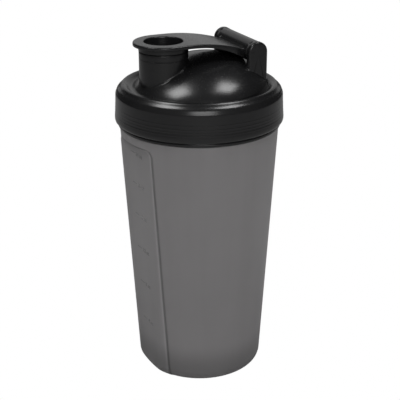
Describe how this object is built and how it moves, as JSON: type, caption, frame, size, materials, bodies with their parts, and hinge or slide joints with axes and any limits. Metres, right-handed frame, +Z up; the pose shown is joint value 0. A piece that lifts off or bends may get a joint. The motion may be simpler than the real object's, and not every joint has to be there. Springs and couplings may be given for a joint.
{
  "type": "protein shaker bottle",
  "caption": "Tapered translucent drinking cup with a flat measuring panel, a black screw lid, a spout closed by a hinged flip cap, and a mixing grid under the lid.",
  "frame": {"origin": "centre of the foot, on the surface that the bottle stands on", "axes": "+Z up along the cup's axis, -Y towards the drinking spout, +Y towards the cap's hinge"},
  "size_m": [0.1, 0.1, 0.2077],
  "materials": {
    "cup_plastic": "frosted translucent smoke-grey polypropylene",
    "lid_plastic": "satin black polypropylene",
    "cap_plastic": "satin black polypropylene",
    "grid_plastic": "satin black polypropylene",
    "seal_rubber": "matt dark grey silicone"
  },
  "bodies": {
    "cup": {"cup": "cup_plastic"},
    "seal_ring": {"lid_seal": "seal_rubber"},
    "lid": {"screw_lid": "lid_plastic"},
    "cap": {"flip_cap": "cap_plastic", "plug_seal": "seal_rubber"},
    "grid": {"mixing_grid": "grid_plastic"}
  },
  "joints": [
    {"name": "lid_lift", "type": "slide", "parent": "cup", "child": "seal_ring", "axis": [0, 0, 1], "range_m": [0, 0.0075]},
    {"name": "lid_turn", "type": "hinge", "parent": "seal_ring", "child": "lid", "pos_m": [0, 0, 0.17], "axis": [0, 0, 1], "range_deg": [0, 540]},
    {"name": "cap_flip", "type": "hinge", "parent": "lid", "child": "cap", "pos_m": [0, 0.0266, 0.2008], "axis": [-1, 0, 0], "range_deg": [0, 200]},
    {"name": "grid_pull", "type": "slide", "parent": "lid", "child": "grid", "axis": [0, 0, -1], "range_m": [0, 0.012]}
  ],
  "couplings": [
    {"joint": "lid_lift", "follows": "lid_turn", "m_per_rad": 0.00079577}
  ]
}
